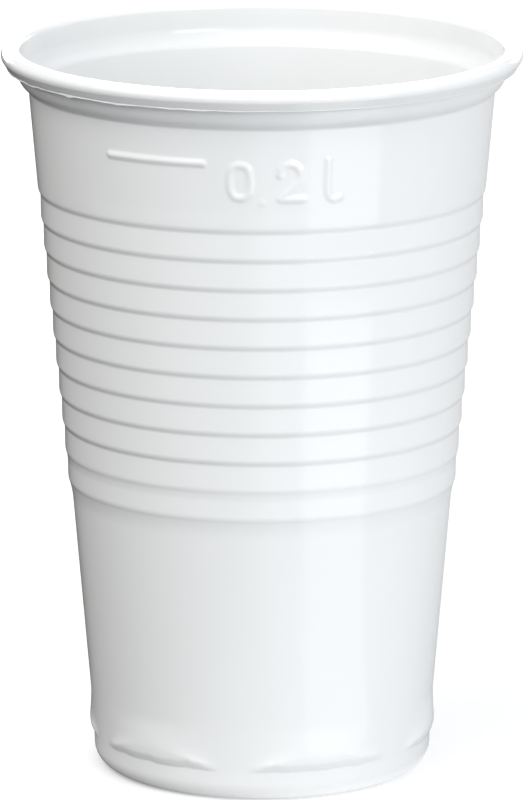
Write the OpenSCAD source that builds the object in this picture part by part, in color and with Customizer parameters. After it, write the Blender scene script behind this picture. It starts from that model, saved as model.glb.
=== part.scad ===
// Disposable drinking cup, drawn from one white plastic sheet.
// Rolled lip, stepped collar, plain band with a raised fill line,
// a stack of stiffening rings, a plain lower wall and a foot with stacking lugs.
// Millimetres, Z up, origin on the table at the centre of the resting ring.

/* [Body] */
// overall height, table to the top of the lip
cup_h = 99.4; // [94:0.1:106]
// outside diameter of the neck, under the shoulder
neck_d = 62.94; // [61.5:0.02:64]
// outside diameter of the lower wall, just above the lugs
foot_d = 46.92; // [45.5:0.02:48.5]
// thickness of the drawn wall and bottom
wall_t = 0.2; // [0.15:0.01:0.3]

/* [Lip] */
// outside diameter of the lip
rim_d = 70.3; // [69.6:0.02:72.5]
// outside diameter of the collar under the lip
collar_d = 66.2; // [65.4:0.02:66.6]
// thickness of the sheet in the lip, where it is hardly drawn
lip_t = 0.5; // [0.35:0.01:0.6]
// fall from the top of the lip to its trimmed edge
lip_drop = 2.6; // [2.2:0.05:3]
// outside radius of the lip's outer corner
lip_round = 1.0; // [0.8:0.05:1.2]
// lean of the lip's skirt, in degrees from upright
lip_lean = 33; // [15:1:36]
// fall from the top of the lip to the neck
neck_drop = 5.6; // [5.3:0.05:6.4]
// inner radius of the bend from the collar into the lip's top
lip_bend = 0.12; // [0.06:0.01:0.3]
// slope of the shoulder where it leaves the neck, in degrees from upright
shoulder_a = 49; // [40:1:55]
// straight run of the shoulder before it rounds up into the collar
shoulder_run = 0.84; // [0.5:0.02:1.2]

/* [Rings] */
// number of grooves between the rings
ring_n = 11; // [7:1:13]
// height of one ring
ring_pitch = 4.0; // [3:0.05:4.3]
// fall from the top of the lip to the first groove
ring_drop = 19.8; // [18:0.1:22]
// outside diameter in the first groove
groove_top_d = 59.9; // [59.3:0.02:60.5]
// outside diameter in the last groove
groove_low_d = 52.2; // [51.6:0.02:52.8]
// depth by which a ring's lower edge rounds in
ring_depth = 0.33; // [0.15:0.01:0.5]
// radius of that rounded edge
ring_round = 3.4; // [2:0.1:5]
// height of the soft ramp under the last groove
ramp_h = 2.6; // [1.5:0.1:5]
// how far the soft ramp runs in
ramp_in = 0.33; // [0.2:0.01:0.45]

/* [Fill line] */
// fall from the top of the lip to the line's lower edge
line_drop = 11.0; // [9.5:0.1:13]
// height of the line
line_h = 1.5; // [0.8:0.05:1.8]
// how far the line stands out
line_out = 0.25; // [0.1:0.01:0.4]
// turn from the front to the line's middle, in degrees
line_turn = -27.3; // [-60:0.1:60]
// sweep of the line round the cup, in degrees
line_sweep = 26; // [10:0.5:50]

/* [Foot] */
// height of the crease under the lugs
crease_z = 4.8; // [4.3:0.05:5.2]
// height at which the lugs leave the wall
lug_top = 10; // [9:0.1:12]
// number of lugs
lug_n = 6; // [4:1:7]
// how far a lug stands out over the crease
lug_out = 0.49; // [0.3:0.01:0.6]
// radius of a lug's lower edge
lug_round = 6.5; // [4:0.1:8]
// sweep of one lug at its root, in degrees
lug_sweep = 46; // [34:0.5:48]
// sweep over which each end of a lug fades out, in degrees
lug_fade = 9; // [3:0.5:12]
// turn from the front to the first lug's middle, in degrees
lug_turn = 21; // [-30:0.5:30]
// outside diameter of the base ring, at the top of its corner
base_d = 45.86; // [44.8:0.02:46.4]
// radius of the base corner
base_round = 2.6; // [1.5:0.1:3.2]
// width of the resting ring's flat
rest_w = 1.2; // [0.6:0.05:2]
// rise of the bottom panel over the table
panel_rise = 1.8; // [0.8:0.1:2.6]
// width of the sloping flank between the resting ring and the panel
flank_w = 1.25; // [0.8:0.05:2]

/* [Hidden] */
plastic = [0.95, 0.95, 0.94];
$fn = 120;

neck_r = neck_d / 2;
neck_z = cup_h - neck_drop;
foot_r = foot_d / 2;
collar_r = collar_d / 2;
base_r = base_d / 2;
groove_top_r = groove_top_d / 2;
groove_low_r = groove_low_d / 2;
groove_top_z = cup_h - ring_drop;
groove_low_z = groove_top_z - ring_pitch * (ring_n - 1);

// radius and height of groove k, counted from the top
function groove(k) = [
    groove_top_r + (groove_low_r - groove_top_r) * k / (ring_n - 1),
    groove_top_z - ring_pitch * k
];

// n steps of an arc round c, from angle a to angle b
function arc(c, r, a, b, n) = [
    for (i = [0:n]) c + r * [cos(a + (b - a) * i / n), sin(a + (b - a) * i / n)]
];

// soft bend from p to q, drawn towards m
function bend(p, m, q, n) = [
    for (i = [0:n]) let (s = i / n) p * (1 - s) * (1 - s) + m * 2 * s * (1 - s) + q * s * s
];

// a list of points, each with the sheet thickness there
function with_t(p, t) = [for (q = p) [q[0], q[1], t]];

// unit vector to the left of the way from p to q, which is the inside of the cup
function inward(p, q) = [p[1] - q[1], q[0] - p[0]] / norm(q - p);

// the sheet's other face: each point moved in by the thickness there
function other_face(s) =
    let (p = [for (q = s) [q[0], q[1]]], m = len(s) - 1)
    [for (i = [0:m])
        let (
            a = i == 0 ? inward(p[0], p[1]) : inward(p[i - 1], p[i]),
            b = i == m ? inward(p[m - 1], p[m]) : inward(p[i], p[i + 1])
        )
        p[i] + s[i][2] * (a + b) / (1 + a * b)
    ];

// underside: raised panel, flank, flat resting ring and the corner up to the base ring
rest_r = base_r - base_round;
crease_r = base_r + (foot_r - base_r) * (crease_z - base_round) / (lug_top - base_round);
base_path = concat(
    [[0, panel_rise], [rest_r - rest_w - flank_w, panel_rise], [rest_r - rest_w, 0]],
    arc([rest_r, base_round], base_round, -90, 0, 6)
);

// lower wall and the soft ramp that meets the last groove
wall_top = [groove_low_r - ramp_in, groove_low_z - ramp_h];
wall_foot = [foot_r, lug_top];
wall_slope = (wall_top[0] - wall_foot[0]) / (wall_top[1] - wall_foot[1]);
ramp_mid = wall_top + [wall_slope, 1] * ramp_h * 0.55;
wall_path = concat([wall_foot], bend(wall_top, ramp_mid, [groove_low_r, groove_low_z], 4));

// lower edge of a ring, rounding out and up from the groove at g
ring_turn = acos(1 - ring_depth / ring_round);
function ring_edge(g) = [
    for (i = [3:-1:0])
        let (a = ring_turn * i / 4)
        g + [
            ring_depth - ring_round * (1 - cos(a)),
            ring_round * (sin(ring_turn) - sin(a))
        ]
];
ring_path = [
    for (k = [ring_n - 1:-1:0])
        each concat(ring_edge(groove(k)), k > 0 ? [groove(k - 1)] : [])
];

// neck, shoulder and collar
shoulder_round = (collar_r - neck_r - shoulder_run * sin(shoulder_a)) / (1 - cos(shoulder_a));
shoulder_foot = [neck_r, neck_z] + shoulder_run * [sin(shoulder_a), cos(shoulder_a)];
shoulder_centre = shoulder_foot - shoulder_round * [cos(shoulder_a), -sin(shoulder_a)];
shoulder_path = arc(shoulder_centre, shoulder_round, -shoulder_a, 0, 5);

// lip: over the top, round the outer corner and down the leaning skirt
lip_in = lip_round - lip_t;
lip_centre = [rim_d / 2 - lip_round, cup_h - lip_round];
skirt_top = lip_centre + lip_in * [cos(lip_lean), -sin(lip_lean)];
skirt_run = (lip_drop - lip_round * (1 + sin(lip_lean))) / cos(lip_lean);
skirt_end = skirt_top - skirt_run * [sin(lip_lean), cos(lip_lean)];
lip_path = concat(
    arc([collar_r + lip_bend, cup_h - lip_t - lip_bend], lip_bend, 180, 90, 3),
    arc(lip_centre, lip_in, 90, -lip_lean, 6),
    [skirt_end]
);

// the outer face of the sheet from the bottom's centre to the trimmed edge
shoulder_steps = len(shoulder_path) - 1;
sheet = concat(
    with_t(base_path, wall_t),
    with_t(wall_path, wall_t),
    with_t(ring_path, wall_t),
    [[neck_r, neck_z, wall_t]],
    [for (i = [0:shoulder_steps])
        [
            shoulder_path[i][0],
            shoulder_path[i][1],
            wall_t + (lip_t - wall_t) * (i + 1) / (shoulder_steps + 1)
        ]
    ],
    with_t(lip_path, lip_t)
);

// outer face of a lug, from inside the wall under the crease to inside the wall at its top
lug_r = crease_r + lug_out;
lug_edge_h = lug_round * sin(acos(1 - lug_out / lug_round));
lug_turn_in = acos(1 - (lug_out + wall_t / 2) / lug_round);
lug_face = concat(
    [for (i = [6:-1:1])
        let (a = lug_turn_in * i / 6)
        [lug_r - lug_round * (1 - cos(a)), crease_z + lug_edge_h - lug_round * sin(a)]
    ],
    bend(
        [lug_r, crease_z + lug_edge_h],
        [lug_r, lug_top - (lug_top - crease_z - lug_edge_h) * 0.35],
        [foot_r - wall_t / 2, lug_top],
        5
    )
);

// cylinder whose side fades the ends of a lug into the wall
fade_out = lug_sweep / 2 - lug_fade;
fade_root = crease_r + (foot_r - crease_r) * 0.4;
fade_off = (lug_r * lug_r - fade_root * fade_root)
    / (2 * (lug_r * cos(fade_out) - fade_root * cos(lug_sweep / 2)));
fade_r = sqrt(lug_r * lug_r + fade_off * fade_off - 2 * lug_r * fade_off * cos(fade_out));

// outside radius of the plain band at height z
function band_r(z) =
    let (low = groove_top_r + ring_depth, low_z = groove_top_z + ring_round * sin(ring_turn))
    low + (neck_r - low) * (z - low_z) / (neck_z - low_z);

// sheet of the whole cup, turned about its axis
module drawn_sheet() {
    rotate_extrude()
        polygon(concat(
            [for (q = sheet) [q[0], q[1]]],
            [for (i = [len(sheet) - 1:-1:0]) other_face(sheet)[i]]
        ));
}

// one lug, its face set in by t and its back by a further d
module lug(t, d) {
    last = len(lug_face) - 1;
    intersection() {
        rotate_extrude()
            polygon(concat(
                [for (q = lug_face) q - [t, 0]],
                d > 0 ? [lug_face[last] - [t + d, 0], lug_face[0] - [t + d, 0]] : []
            ));
        translate([fade_off, 0, 0])
            cylinder(r = fade_r - t, h = lug_top * 1.2);
    }
}

// all lugs round the foot
module lugs(t, d) {
    for (i = [0:lug_n - 1])
        rotate([0, 0, lug_turn - 90 + i * 360 / lug_n])
            lug(t, d);
}

// rise of the line's round section over the wall, from its middle at s = 0 to its edge at s = 1
function line_rise(s) = (line_out + wall_t / 2) * (1 - s * s) - wall_t / 2;

// raised fill line with a round section and round ends
module fill_line() {
    low = cup_h - line_drop;
    mid = low + line_h / 2;
    lean = atan(band_r(mid + 0.5) - band_r(mid - 0.5));
    start = line_turn - 90 - line_sweep / 2;
    rotate([0, 0, start])
        rotate_extrude(angle = line_sweep)
            polygon([
                for (i = [-8:8])
                    let (z = mid + line_h * i / 16)
                    [band_r(z) + line_rise(i / 8), z]
            ]);
    for (a = [start, start + line_sweep])
        rotate([0, 0, a])
            translate([band_r(mid), 0, mid])
                rotate([0, 90 + lean, 0])
                    rotate_extrude()
                        polygon(concat(
                            [for (i = [0:8]) [line_h * 0.485 * i / 8, line_rise(i / 8) * 0.97]],
                            [[0, line_rise(1) * 0.97]]
                        ));
}

// the cup: drawn sheet, lugs pressed out from inside, raised line
module cup() {
    color(plastic)
        difference() {
            union() {
                drawn_sheet();
                lugs(0, 0);
                fill_line();
            }
            lugs(wall_t, wall_t * 3);
        }
}

cup();
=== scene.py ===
import math

import bmesh
import bpy
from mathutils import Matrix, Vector, noise


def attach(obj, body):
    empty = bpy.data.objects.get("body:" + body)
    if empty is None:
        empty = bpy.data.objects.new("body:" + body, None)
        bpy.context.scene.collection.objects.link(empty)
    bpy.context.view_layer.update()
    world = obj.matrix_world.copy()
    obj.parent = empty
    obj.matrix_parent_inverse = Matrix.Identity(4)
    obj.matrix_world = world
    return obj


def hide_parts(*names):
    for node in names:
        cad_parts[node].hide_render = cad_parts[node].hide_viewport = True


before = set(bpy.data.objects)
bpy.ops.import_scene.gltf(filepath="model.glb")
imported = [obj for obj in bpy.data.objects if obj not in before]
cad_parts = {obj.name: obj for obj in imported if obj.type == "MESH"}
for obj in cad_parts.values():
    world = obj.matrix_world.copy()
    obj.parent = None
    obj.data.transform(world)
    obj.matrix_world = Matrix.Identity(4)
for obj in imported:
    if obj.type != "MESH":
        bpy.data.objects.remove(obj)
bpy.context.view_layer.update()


# Bottom and base ring
# The cup is one sheet of white polystyrene, drawn hot into a turned mould. It stands on a narrow
# flat ring round a raised bottom panel, and a round corner leads up to the wall.
# The outline below follows the sheet's outer face: radius, height, rounding and its steps.
panel_rise = 0.0018
panel_radius = 0.01788
panel_round = 0.0005
rest_inner = 0.01913
rest_round = 0.0003
base_radius = 0.02293
base_round = 0.0026

outline = [
    (0.0, panel_rise, 0.0, 0),
    (panel_radius, panel_rise, panel_round, 3),
    (rest_inner, 0.0, rest_round, 3),
    (base_radius, 0.0, base_round, 8),
]


# Lower wall
# A plain tapered wall, the part of the sheet that is drawn furthest. Near its foot the outline
# has points at the low end, the fullest place and the top of the stacking lugs.
lug_low = 0.0039
lug_full = 0.0062
lug_top = 0.0106
low_radius = 0.02306
full_radius = 0.02322
foot_radius = 0.02351
foot_round = 0.0004
ramp_radius = 0.02589
ramp_height = 0.03843
ramp_round = 0.0011

outline += [
    (low_radius, lug_low, 0.0, 0),
    (full_radius, lug_full, 0.0, 0),
    (foot_radius, lug_top, foot_round, 2),
    (ramp_radius, ramp_height, ramp_round, 4),
]


# Stiffening rings
# Eleven grooves part the rings that keep the thin wall from folding in the hand. Each ring stands
# upright and rounds in at its lower edge, down to a narrow groove. The sheet doesn't quite reach
# the mould in the two lowest grooves, which are shallower. One of them lies over a short slope.
groove_count = 11
ring_pitch = 0.0040
groove_top = 0.0796
groove_top_radius = 0.02995
groove_low_radius = 0.02610
ring_depth = 0.00033
ring_round = 0.0022
groove_share = 0.41
edge_share = 0.57
shallow_count = 2
shallow_lift = 0.00013
shallow_slope = 0.0009
shallow_round = 0.0002

ring_turn = math.acos(1 - ring_depth / ring_round)
edge_run = ring_round * math.tan(ring_turn / 2)
edge_rise = edge_run * math.cos(ring_turn)
for k in reversed(range(groove_count)):
    radius = groove_top_radius + (groove_low_radius - groove_top_radius) * k / (groove_count - 1)
    height = groove_top - ring_pitch * k
    shallow = k >= groove_count - shallow_count
    if shallow and k < groove_count - 1:
        outline.append((radius, height - shallow_slope, shallow_round, 2))
    outline += [
        (radius + shallow_lift * shallow, height, edge_run * groove_share, 3),
        (radius + ring_depth, height + edge_rise, edge_run * edge_share, 3),
    ]


# Neck, shoulder and collar
# Above the plain band the wall meets the neck, steps out over a shoulder and rounds up into an
# upright collar, the seat on which the next cup of a stack comes to rest.
neck_radius = 0.03147
neck_height = 0.0938
neck_round = 0.00025
collar_radius = 0.0331
shoulder_height = 0.09522
shoulder_round = 0.00131

outline += [
    (neck_radius, neck_height, neck_round, 4),
    (collar_radius, shoulder_height, shoulder_round, 7),
]


# Lip
# The rim of the sheet is hardly drawn and so stays thick. It turns out flat, rounds over and ends
# in a skirt that leans back under it, cut off by the trimming tool.
lip_under = 0.0989
lip_bend = 0.00012
lip_round = 0.00029
lip_radius = 0.0344475
skirt_top_radius = 0.0347314
skirt_top_height = 0.0983772
skirt_lean = math.radians(33)
skirt_end = Vector((0.033884, 0.0970723))

outline += [
    (collar_radius, lip_under, lip_bend, 8),
    (lip_radius, lip_under, lip_round, 6),
    (skirt_top_radius, skirt_top_height, lip_round, 6),
    (skirt_end.x, skirt_end.y, 0.0, 0),
]


# Turning the sheet
# The mould is turned on a lathe, and the sheet takes its round form. The outline is drawn as a
# chain of edges, its corners are rounded, rows are cut where the sheet has fine detail, and the
# chain is turned about the axis.
turn_steps = 216
weld = 1e-6
crease_row = 0.00012
lug_row = 0.00060
wall_row = 0.0050
band_row = 0.00084
foot_margin = 0.0005
neck_margin = 0.0002

sheet = bmesh.new()
chain = [sheet.verts.new((radius, 0.0, height)) for radius, height, rounding, steps in outline]
for lower, upper in zip(chain, chain[1:]):
    sheet.edges.new((lower, upper))
for corner, (radius, height, rounding, steps) in zip(chain, outline):
    if rounding:
        bmesh.ops.bevel(
            sheet, geom=[corner], offset=rounding, offset_type="OFFSET", affect="VERTICES",
            segments=steps, profile=0.5, material=-1,
        )


def cut_rows(low, high, step):
    """Cuts the outline's edges between two heights into pieces no longer than step."""
    for edge in list(sheet.edges):
        if all(low <= vert.co.z <= high for vert in edge.verts):
            cuts = math.ceil(edge.calc_length() / step) - 1
            if cuts > 0:
                bmesh.ops.subdivide_edges(sheet, edges=[edge], cuts=cuts)


cut_rows(lug_low - weld, lug_full + weld, crease_row)
cut_rows(lug_full - weld, lug_top + foot_margin, lug_row)
cut_rows(lug_top - foot_margin, ramp_height, wall_row)
cut_rows(groove_top, neck_height + neck_margin, band_row)
bmesh.ops.spin(
    sheet, geom=sheet.verts[:] + sheet.edges[:], cent=(0, 0, 0), axis=(0, 0, 1),
    angle=math.tau, steps=turn_steps, use_merge=True,
)
bmesh.ops.remove_doubles(sheet, verts=sheet.verts, dist=weld)
bmesh.ops.recalc_face_normals(sheet, faces=sheet.faces)
if min(sheet.faces, key=lambda face: face.calc_center_median().z).normal.z > 0:
    bmesh.ops.reverse_faces(sheet, faces=sheet.faces)


# Stacking lugs
# Six shallow lugs are pressed out round the foot, so that stacked cups don't jam. Each swells out
# of the wall, drops to a slightly wavering crease, and fades at its ends into plain bridges.
lug_count = 6
lug_pitch = 360 / lug_count
lug_first = 20.5
lug_half_sweep = 25.0
lug_fade = 5.0
lug_out = 0.00033
flank_lean = 0.38
rim_soft = 0.00008
crease_height = 0.00450
crease_soft = 0.00003
crease_low = 0.00425
crease_high = 0.00465
crease_step = 0.00010
crease_waver = 0.00028
waver_scale = 850
dome_low = 0.0046
dome_high = 0.0076


def turn_of(place):
    """Degrees round the cup from its front, positive to the viewer's right."""
    return math.degrees(math.atan2(place.x, -place.y))


def move_out(vert, amount):
    """Moves a point of the sheet straight out from the cup's axis."""
    away = Vector((vert.co.x, vert.co.y, 0.0)).normalized()
    vert.co += away * amount


def fade(value, start, end):
    """Soft step from 0 at start to 1 at end."""
    part = min(max((value - start) / (end - start), 0.0), 1.0)
    return part * part * (3 - 2 * part)


def rounded(amount, soft):
    """The amount where it is above nothing, with the corner at nothing rounded."""
    return (amount + math.hypot(amount, soft)) / 2


for vert in sheet.verts:
    height = vert.co.z
    if lug_low < height < lug_top:
        turn = turn_of(vert.co) - lug_first
        off = abs((turn + lug_pitch / 2) % lug_pitch - lug_pitch / 2)
        soft = lug_fade + (lug_half_sweep - lug_fade) * fade(height, dome_low, dome_high)
        raised = fade(off, lug_half_sweep, lug_half_sweep - soft) * fade(height, lug_top, lug_full)
        flank = rounded(flank_lean * (height - crease_height), crease_soft)
        flank = lug_out - rounded(lug_out - flank, rim_soft)
        flank += crease_step * fade(height, crease_low, crease_high)
        waver = noise.noise(vert.co.xy.to_3d() * waver_scale)
        move_out(vert, flank * raised * fade(height, lug_low, crease_low))
        vert.co.z += crease_waver * waver * raised * fade(height, lug_low, crease_high)


# Fill line and capacity mark
# A raised line and plain numerals are cut into the mould, so the sheet takes them as soft ridges.
# Each stroke is a run of points: degrees from the front, and height. Each patch of the band gives
# its turn from and to, and its height from and to.
line_out = 0.00025
numeral_out = 0.00020
point_out = 0.00008
ridge_half = 0.00078
mark_radius = 0.0308
mark_cuts = 4
line_patch = (-43, -11, 0.0881, 0.0904)
numeral_patch = (-11, 22, 0.0828, 0.0904)
band_patch = (-46, 25, 0.0820, 0.0915)
nought_turn = -5.37
nought_height = 0.08681
nought_half_turn = 2.56
nought_half_height = 0.00224
nought_steps = 32
nought_power = 0.8


def squarer(value):
    """A sine or cosine pushed towards its ends, which makes a round stroke squarer."""
    return math.copysign(abs(value) ** nought_power, value)


nought_angles = [math.tau * i / nought_steps for i in range(nought_steps + 1)]
strokes = {
    "line": [(-40.1, 0.08915), (-14.5, 0.08915)],
    "nought": [
        (nought_turn + nought_half_turn * squarer(math.cos(angle)),
         nought_height + nought_half_height * squarer(math.sin(angle)))
        for angle in nought_angles
    ],
    "point": [(0.1, 0.0839), (0.12, 0.0839)],
    "two": [
        (4.40, 0.08770), (4.75, 0.08850), (5.70, 0.08905), (6.90, 0.08920),
        (8.30, 0.08895), (9.30, 0.08830), (9.60, 0.08760), (9.10, 0.08690),
        (7.60, 0.08600), (5.60, 0.08500), (4.70, 0.08440), (10.40, 0.08440),
    ],
    "litre": [
        (16.3, 0.0895), (16.3, 0.0857), (16.5, 0.0850),
        (17.1, 0.0844), (18.0, 0.0842), (19.4, 0.0844),
    ],
}


def band_radius(height):
    """Radius of the plain band's outer face at a height."""
    start = groove_top + ring_round * math.sin(ring_turn)
    start_radius = groove_top_radius + ring_depth
    part = (height - start) / (neck_height - start)
    return start_radius + (neck_radius - start_radius) * part


def in_patch(place, patch):
    """True where a place lies in a patch of the band."""
    left, right, low, high = patch
    return low < place.z < high and left < turn_of(place) < right


def in_mark(place):
    """True where the sheet has to be fine enough to hold the mark."""
    return in_patch(place, line_patch) or in_patch(place, numeral_patch)


def rolled_out(turn, height):
    """Place on the band when it is rolled out flat."""
    return Vector((math.radians(turn) * mark_radius, height))


def ridge_height(place):
    """How far the mould's strokes lift the sheet at a place on the band."""
    here = rolled_out(turn_of(place), place.z)
    lift = 0.0
    for name, points in strokes.items():
        out = {"line": line_out, "point": point_out}.get(name, numeral_out)
        places = [rolled_out(turn, height) for turn, height in points]
        for a, b in zip(places, places[1:]):
            along = min(max((here - a).dot(b - a) / (b - a).length_squared, 0.0), 1.0)
            lift = max(lift, out * fade((here - a - (b - a) * along).length, ridge_half, 0.0))
    return lift


mark_faces = [face for face in sheet.faces if in_mark(face.calc_center_median())]
mark_edges = list(dict.fromkeys(edge for face in mark_faces for edge in face.edges))
bmesh.ops.subdivide_edges(sheet, edges=mark_edges, cuts=mark_cuts, use_grid_fill=True)
for vert in sheet.verts:
    if in_patch(vert.co, band_patch):
        move_out(vert, band_radius(vert.co.z) - math.hypot(vert.co.x, vert.co.y))
        if in_mark(vert.co):
            move_out(vert, ridge_height(vert.co))

cup_mesh = bpy.data.meshes.new("cup_sheet")
for face in sheet.faces:
    face.smooth = True
sheet.to_mesh(cup_mesh)
sheet.free()
cup = bpy.data.objects.new("cup_sheet", cup_mesh)
bpy.context.scene.collection.objects.link(cup)


# Sheet thickness
# The wall and bottom are a fifth of a millimetre thick. Over the shoulder the sheet thickens to
# half a millimetre in the lip. The cut edge has its arris just broken.
wall_thickness = 0.0002
lip_thickness = 0.0005
thick_gain = 1.6
arris_width = 0.00008
arris_angle = math.radians(55)

thick = cup.vertex_groups.new(name="thick_rim")
for vert in cup_mesh.vertices:
    share = (vert.co.z - neck_height) / (lip_under - lip_bend - neck_height)
    if share > 0:
        thick.add([vert.index], min(share * thick_gain, 1.0), "REPLACE")
walls = cup.modifiers.new("sheet_thickness", "SOLIDIFY")
walls.thickness = lip_thickness
walls.offset = -1.0
walls.use_even_offset = True
walls.use_quality_normals = True
walls.vertex_group = "thick_rim"
walls.thickness_vertex_group = wall_thickness / lip_thickness
arris = cup.modifiers.new("broken_arris", "BEVEL")
arris.limit_method = "ANGLE"
arris.angle_limit = arris_angle
arris.width = arris_width
arris.segments = 2
evened = cup.modifiers.new("even_shading", "WEIGHTED_NORMAL")
evened.weight = 50


# White polystyrene
# Milky white, filled plastic with the gloss of the mould. The drawn sheet is never quite even: it
# is a touch thinner and darker in soft patches, and its gloss ripples slightly along the draw.
white = bpy.data.materials.new("white_polystyrene")
white.use_nodes = True
nodes, links = white.node_tree.nodes, white.node_tree.links
plastic = nodes["Principled BSDF"]
plastic.inputs["IOR"].default_value = 1.59
plastic.inputs["Specular IOR Level"].default_value = 0.5
place = nodes.new("ShaderNodeTexCoord")
draw = nodes.new("ShaderNodeMapping")
draw.inputs["Scale"].default_value = (1.0, 1.0, 0.35)
links.new(place.outputs["Object"], draw.inputs["Vector"])

patches = nodes.new("ShaderNodeTexNoise")
patches.inputs["Scale"].default_value = 55.0
patches.inputs["Detail"].default_value = 3.0
links.new(draw.outputs["Vector"], patches.inputs["Vector"])
milk = nodes.new("ShaderNodeValToRGB")
milk.color_ramp.elements[0].position = 0.3
milk.color_ramp.elements[0].color = (0.942, 0.946, 0.948, 1)
milk.color_ramp.elements[1].position = 0.7
milk.color_ramp.elements[1].color = (0.962, 0.966, 0.968, 1)
links.new(patches.outputs["Fac"], milk.inputs["Fac"])
links.new(milk.outputs["Color"], plastic.inputs["Base Color"])

scuffs = nodes.new("ShaderNodeTexNoise")
scuffs.inputs["Scale"].default_value = 700.0
scuffs.inputs["Detail"].default_value = 4.0
links.new(place.outputs["Object"], scuffs.inputs["Vector"])
gloss = nodes.new("ShaderNodeMapRange")
gloss.inputs["From Min"].default_value = 0.3
gloss.inputs["From Max"].default_value = 0.7
gloss.inputs["To Min"].default_value = 0.07
gloss.inputs["To Max"].default_value = 0.12
links.new(scuffs.outputs["Fac"], gloss.inputs["Value"])
links.new(gloss.outputs["Result"], plastic.inputs["Roughness"])

ripple = nodes.new("ShaderNodeTexNoise")
ripple.inputs["Scale"].default_value = 160.0
ripple.inputs["Detail"].default_value = 1.0
links.new(draw.outputs["Vector"], ripple.inputs["Vector"])
relief = nodes.new("ShaderNodeBump")
relief.inputs["Strength"].default_value = 0.25
relief.inputs["Distance"].default_value = 0.0001
links.new(ripple.outputs["Fac"], relief.inputs["Height"])
links.new(relief.outputs["Normal"], plastic.inputs["Normal"])

cup_mesh.materials.append(white)
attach(cup, "root")
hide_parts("cup")


# Trimmed edge
# The trimming tool leaves a fine burr along the outer arris of the skirt, of the sheet's own
# plastic. It stands out unevenly, with a bigger rag here and there, and is nearly gone on the
# right. Each rag has its turn from the front and its size.
burr_steps = 720
burr_up = 0.00016
burr_down = 0.00004
burr_in = 0.00018
burr_crest = Vector((0.00004, 0.00001))
burr_out = 0.00006
burr_sway = 0.00016
sway_fine, sway_broad, sway_broad_share = 420, 140, 0.6
crest_fine, crest_fine_share = 600, 0.7
crest_broad, crest_broad_share = 150, 0.4
crest_drop = 0.3
rag_drop = 2.4
rag_width = 1.1
rags = [
    (-47.5, 1.6), (-33.5, 1.0), (-62.0, 0.8), (-20.0, 0.6),
    (64.0, 0.5), (151.0, 1.4), (-128.0, 1.2),
]
worn_turn = 50
worn_start = 70
worn_full = 40
worn_share = 0.75

trim = skirt_end + lip_thickness * Vector((math.cos(skirt_lean), -math.sin(skirt_lean)))
along = Vector((math.sin(skirt_lean), math.cos(skirt_lean)))
inward = Vector((-math.cos(skirt_lean), math.sin(skirt_lean)))
section = [
    trim + burr_up * along,
    trim + burr_crest,
    trim - burr_down * along,
    trim + burr_in * inward,
]
burr = bmesh.new()
corners = [burr.verts.new((point.x, 0.0, point.y)) for point in section]
for first, second in zip(corners, corners[1:] + corners[:1]):
    burr.edges.new((first, second))
bmesh.ops.spin(
    burr, geom=burr.verts[:] + burr.edges[:], cent=(0, 0, 0), axis=(0, 0, 1),
    angle=math.tau, steps=burr_steps, use_merge=True,
)
bmesh.ops.remove_doubles(burr, verts=burr.verts, dist=weld)
crest = section[1].x
for vert in burr.verts:
    turn = turn_of(vert.co)
    left_on = 1.0 - worn_share * fade(abs(turn - worn_turn), worn_start, worn_full)
    rag = sum(size * math.exp(-((turn - middle) / rag_width) ** 2) for middle, size in rags)
    ring_place = vert.co.xy.to_3d()
    sway = noise.noise(ring_place * sway_fine)
    sway += sway_broad_share * noise.noise(ring_place * sway_broad)
    sway *= burr_sway * left_on
    on_crest = abs(vert.co.xy.length - crest) < weld
    move_out(vert, along.x * sway)
    vert.co.z += along.y * sway
    if on_crest:
        uneven = 1.0 + crest_fine_share * noise.noise(vert.co * crest_fine)
        uneven += crest_broad_share * noise.noise(vert.co * crest_broad)
        move_out(vert, burr_out * uneven * left_on)
        vert.co.z -= burr_out * (crest_drop * uneven + rag_drop * rag) * left_on
bmesh.ops.recalc_face_normals(burr, faces=burr.faces)
burr_mesh = bpy.data.meshes.new("trim_burr")
burr.to_mesh(burr_mesh)
burr.free()
burr_piece = bpy.data.objects.new("trim_burr", burr_mesh)
bpy.context.scene.collection.objects.link(burr_piece)

burr_mesh.materials.append(white)
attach(burr_piece, "root")


# Floor
# A plain white table that carries on as far as the camera can see and keeps the cup's shadow. What
# the cup itself sees of it is greyer and holds painted light: painted shade, dark on the viewer's
# left, that shades the cup's left side; a faint painted glow under the foot that lights it from
# below; and a painted reflection, a flat bright patch on the right in front that only the gloss
# shows.
floor_half = 6.0
floor_reach = 10.0
# Painted shade: the floor's grey as the cup sees it, dark on the viewer's left, so that the cup's
# left side falls into shade.
left_shade_edge = (-0.038, 0.012)
left_shade_grey = (0.03, 0.56)
# Painted light: a faint glow in the floor round the foot, which lights the foot from below.
foot_glow_edge = (-0.022, 0.004)
foot_glow_bright = (0.03, 0.40)
foot_glow_rim = (0.0236, 0.0252)
# Painted reflection: a bright patch in the floor, seen only by glossy rays, that shows as a
# reflection on the cup's front right.
reflection_left = (0.37, 0.40)
reflection_right = (1.00, 1.05)
reflection_near = (0.032, 0.042)
reflection_far = (0.290, 0.296)
reflection_slope = (0.10, 0.20)
reflection_bright = (0.72, 1.1)

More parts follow.
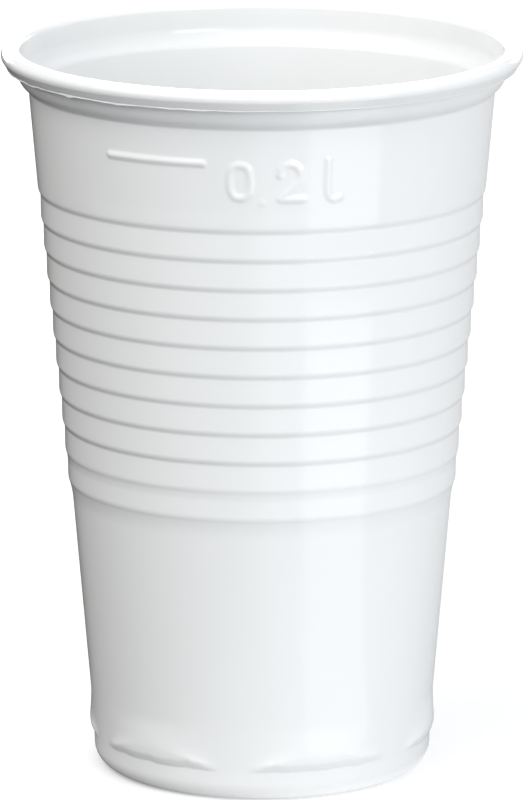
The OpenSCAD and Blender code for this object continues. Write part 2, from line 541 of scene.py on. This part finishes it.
floor_mesh = bpy.data.meshes.new("table")
floor_form = bmesh.new()
bmesh.ops.create_grid(floor_form, x_segments=1, y_segments=1, size=floor_half)
floor_form.to_mesh(floor_mesh)
floor_form.free()
floor = bpy.data.objects.new("table", floor_mesh)
bpy.context.scene.collection.objects.link(floor)
table_white = bpy.data.materials.new("table_white")
table_white.use_nodes = True
nodes, links = table_white.node_tree.nodes, table_white.node_tree.links
paint = nodes["Principled BSDF"]
paint.inputs["Base Color"].default_value = (0.86, 0.86, 0.86, 1)
paint.inputs["Roughness"].default_value = 0.9
paint.inputs["Specular IOR Level"].default_value = 0.0
lift = nodes.new("ShaderNodeEmission")
lift.inputs["Color"].default_value = (1, 1, 1, 1)
lift.inputs["Strength"].default_value = 0.24
white_seen = nodes.new("ShaderNodeAddShader")
links.new(paint.outputs["BSDF"], white_seen.inputs[0])
links.new(lift.outputs["Emission"], white_seen.inputs[1])

spot = nodes.new("ShaderNodeTexCoord")
axes = nodes.new("ShaderNodeSeparateXYZ")
links.new(spot.outputs["Object"], axes.inputs["Vector"])


def between(value, start, end, low, high):
    """Even change from low to high as a value goes from start to end."""
    change = nodes.new("ShaderNodeMapRange")
    change.inputs["From Min"].default_value = start
    change.inputs["From Max"].default_value = end
    change.inputs["To Min"].default_value = low
    change.inputs["To Max"].default_value = high
    links.new(value, change.inputs["Value"])
    return change.outputs["Result"]


def worked_out(kind, first, second):
    """One value from two: their product, their sum or the angle they make."""
    step = nodes.new("ShaderNodeMath")
    step.operation = kind
    links.new(first, step.inputs[0])
    links.new(second, step.inputs[1])
    return step.outputs["Value"]


# Painted shade for bounced light: the floor is darker on the viewer's left.
left_shade = between(axes.outputs["X"], *left_shade_edge, *left_shade_grey)
# Painted reflection: a bright patch on the right in front, bounded by its turn and reach, brighter
# further out.
ahead = between(axes.outputs["Y"], -floor_reach, floor_reach, floor_reach, -floor_reach)
reflection_turn = worked_out("ARCTAN2", axes.outputs["X"], ahead)
length = nodes.new("ShaderNodeVectorMath")
length.operation = "LENGTH"
links.new(spot.outputs["Object"], length.inputs[0])
reach = length.outputs["Value"]
painted_reflection = between(reflection_turn, *reflection_left, 0.0, 1.0)
painted_reflection = worked_out("MULTIPLY", painted_reflection, between(reflection_turn, *reflection_right, 1.0, 0.0))
painted_reflection = worked_out("MULTIPLY", painted_reflection, between(reach, *reflection_far, 1.0, 0.0))
painted_reflection = worked_out("MULTIPLY", painted_reflection, between(reach, *reflection_near, 0.0, 1.0))
painted_reflection = worked_out("MULTIPLY", painted_reflection, between(reach, *reflection_slope, *reflection_bright))
grey = nodes.new("ShaderNodeCombineColor")
for channel in ("Red", "Green", "Blue"):
    links.new(left_shade, grey.inputs[channel])
dull = nodes.new("ShaderNodeBsdfDiffuse")
links.new(grey.outputs["Color"], dull.inputs["Color"])
seen = nodes.new("ShaderNodeLightPath")
# The painted reflection is shown to glossy rays only.
gloss_reflection = worked_out("MULTIPLY", painted_reflection, seen.outputs["Is Glossy Ray"])
# Painted glow round the foot, seen by the cup and not by the camera.
foot_glow = between(axes.outputs["X"], *foot_glow_edge, *foot_glow_bright)
foot_glow = worked_out("MULTIPLY", foot_glow, between(reach, *foot_glow_rim, 1.0, 0.0))
glow = nodes.new("ShaderNodeEmission")
links.new(worked_out("ADD", gloss_reflection, foot_glow), glow.inputs["Strength"])
bounced = nodes.new("ShaderNodeAddShader")
links.new(dull.outputs["BSDF"], bounced.inputs[0])
links.new(glow.outputs["Emission"], bounced.inputs[1])
pick = nodes.new("ShaderNodeMixShader")
links.new(seen.outputs["Is Camera Ray"], pick.inputs["Fac"])
links.new(bounced.outputs["Shader"], pick.inputs[1])
links.new(white_seen.outputs["Shader"], pick.inputs[2])
links.new(pick.outputs["Shader"], nodes["Material Output"].inputs["Surface"])
floor_mesh.materials.append(table_white)


# Studio light
# Soft lamps in an evenly lit room: one in front, a warmer one high on the left, two cool ones low
# on the right, of which one stands on the table, and two behind.
look_at = Vector((0.0, 0.0, 0.05045))
lamp_distance = 1.0


def soft_lamp(name, turn, rise, width, height, bright, tint):
    """A soft rectangular lamp aimed at the cup: turn and rise in degrees from the camera's side."""
    lamp = bpy.data.lights.new(name, "AREA")
    lamp.shape = "RECTANGLE"
    lamp.size = width
    lamp.size_y = height
    lamp.energy = bright * math.pi * width * height
    lamp.color = tint
    holder = bpy.data.objects.new(name, lamp)
    bpy.context.scene.collection.objects.link(holder)
    way = Vector((
        math.sin(math.radians(turn)) * math.cos(math.radians(rise)),
        -math.cos(math.radians(turn)) * math.cos(math.radians(rise)),
        math.sin(math.radians(rise)),
    ))
    holder.location = look_at + way * lamp_distance
    holder.rotation_euler = (-way).to_track_quat("-Z", "Y").to_euler()
    holder.visible_camera = False


soft_lamp("front", 0, 41, 0.65, 0.60, 0.86, (0.88, 0.95, 1.0))
soft_lamp("left_high", -54, 43, 0.95, 0.65, 1.90, (1.0, 0.985, 0.92))
soft_lamp("right_low", 32, 12, 0.42, 0.36, 3.35, (0.90, 0.94, 1.0))
soft_lamp("right_floor", 35, 1.5, 0.70, 0.10, 6.0, (0.92, 0.96, 1.0))
soft_lamp("right_back", 135, 38, 0.70, 0.60, 0.25, (0.80, 0.92, 1.0))
soft_lamp("back_low", 180, 10, 1.30, 0.32, 2.7, (1.0, 1.0, 1.0))

room = bpy.data.worlds.new("room")
bpy.context.scene.world = room
room.use_nodes = True
nodes, links = room.node_tree.nodes, room.node_tree.links
dim = nodes["Background"]
dim.inputs["Color"].default_value = (0.98, 0.99, 1.0, 1)
dim.inputs["Strength"].default_value = 0.72
seen = nodes.new("ShaderNodeLightPath")
pale = nodes.new("ShaderNodeBackground")
pale.inputs["Color"].default_value = (1, 1, 1, 1)
pale.inputs["Strength"].default_value = 1.0
pick = nodes.new("ShaderNodeMixShader")
links.new(seen.outputs["Is Camera Ray"], pick.inputs["Fac"])
links.new(dim.outputs["Background"], pick.inputs[1])
links.new(pale.outputs["Background"], pick.inputs[2])
links.new(pick.outputs["Shader"], nodes["World Output"].inputs["Surface"])


# Camera
# A long lens, set a little above the rim and close to level, as the photograph was taken. It is
# aimed at the cup's axis, about halfway up.
camera_rise = math.radians(13.04)
camera_distance = 0.9645
camera_way = Vector((0.0, -math.cos(camera_rise), math.sin(camera_rise)))

eye = bpy.data.cameras.new("camera")
eye.lens = 318.76
eye.sensor_width = 36.0
camera = bpy.data.objects.new("camera", eye)
bpy.context.scene.collection.objects.link(camera)
camera.location = look_at + camera_way * camera_distance
camera.rotation_euler = (look_at - camera.location).to_track_quat("-Z", "Y").to_euler()
bpy.context.scene.camera = camera

bpy.context.scene.view_settings.view_transform = "Standard"

bpy.context.view_layer.update()
